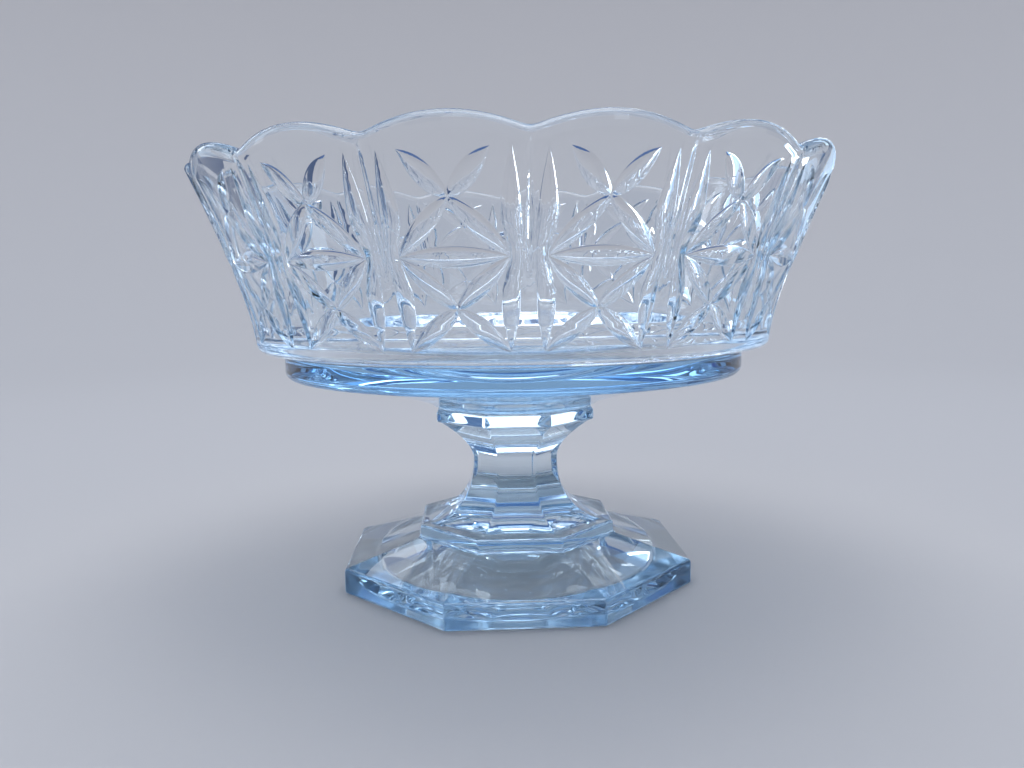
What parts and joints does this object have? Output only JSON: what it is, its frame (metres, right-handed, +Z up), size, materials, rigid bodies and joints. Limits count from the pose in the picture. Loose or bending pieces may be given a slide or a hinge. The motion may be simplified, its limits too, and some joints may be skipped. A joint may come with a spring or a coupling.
{
  "type": "footed glass bowl",
  "caption": "Footed bowl of clear pressed glass for fruit or sweets: flared wall cut with stars and leaves, scalloped rim, tiered underside, octagonal stem and foot.",
  "frame": {"origin": "centre of the resting plane under the foot", "axes": "+Z up along the axis of the stem and bowl, -Y towards the front of the picture, where a ridge of the wall and a flat side of the foot face forward"},
  "size_m": [0.2212, 0.2212, 0.1489],
  "materials": {
    "pedestal_glass": "clear fire-polished pressed glass, faint blue in the thick edges",
    "bond": "thin clear bonding film",
    "bowl_glass": "clear fire-polished pressed glass, faint blue in the thick edges"
  },
  "bodies": {
    "root": {"pedestal": "pedestal_glass", "bond_film": "bond", "bowl": "bowl_glass"}
  },
  "joints": []
}
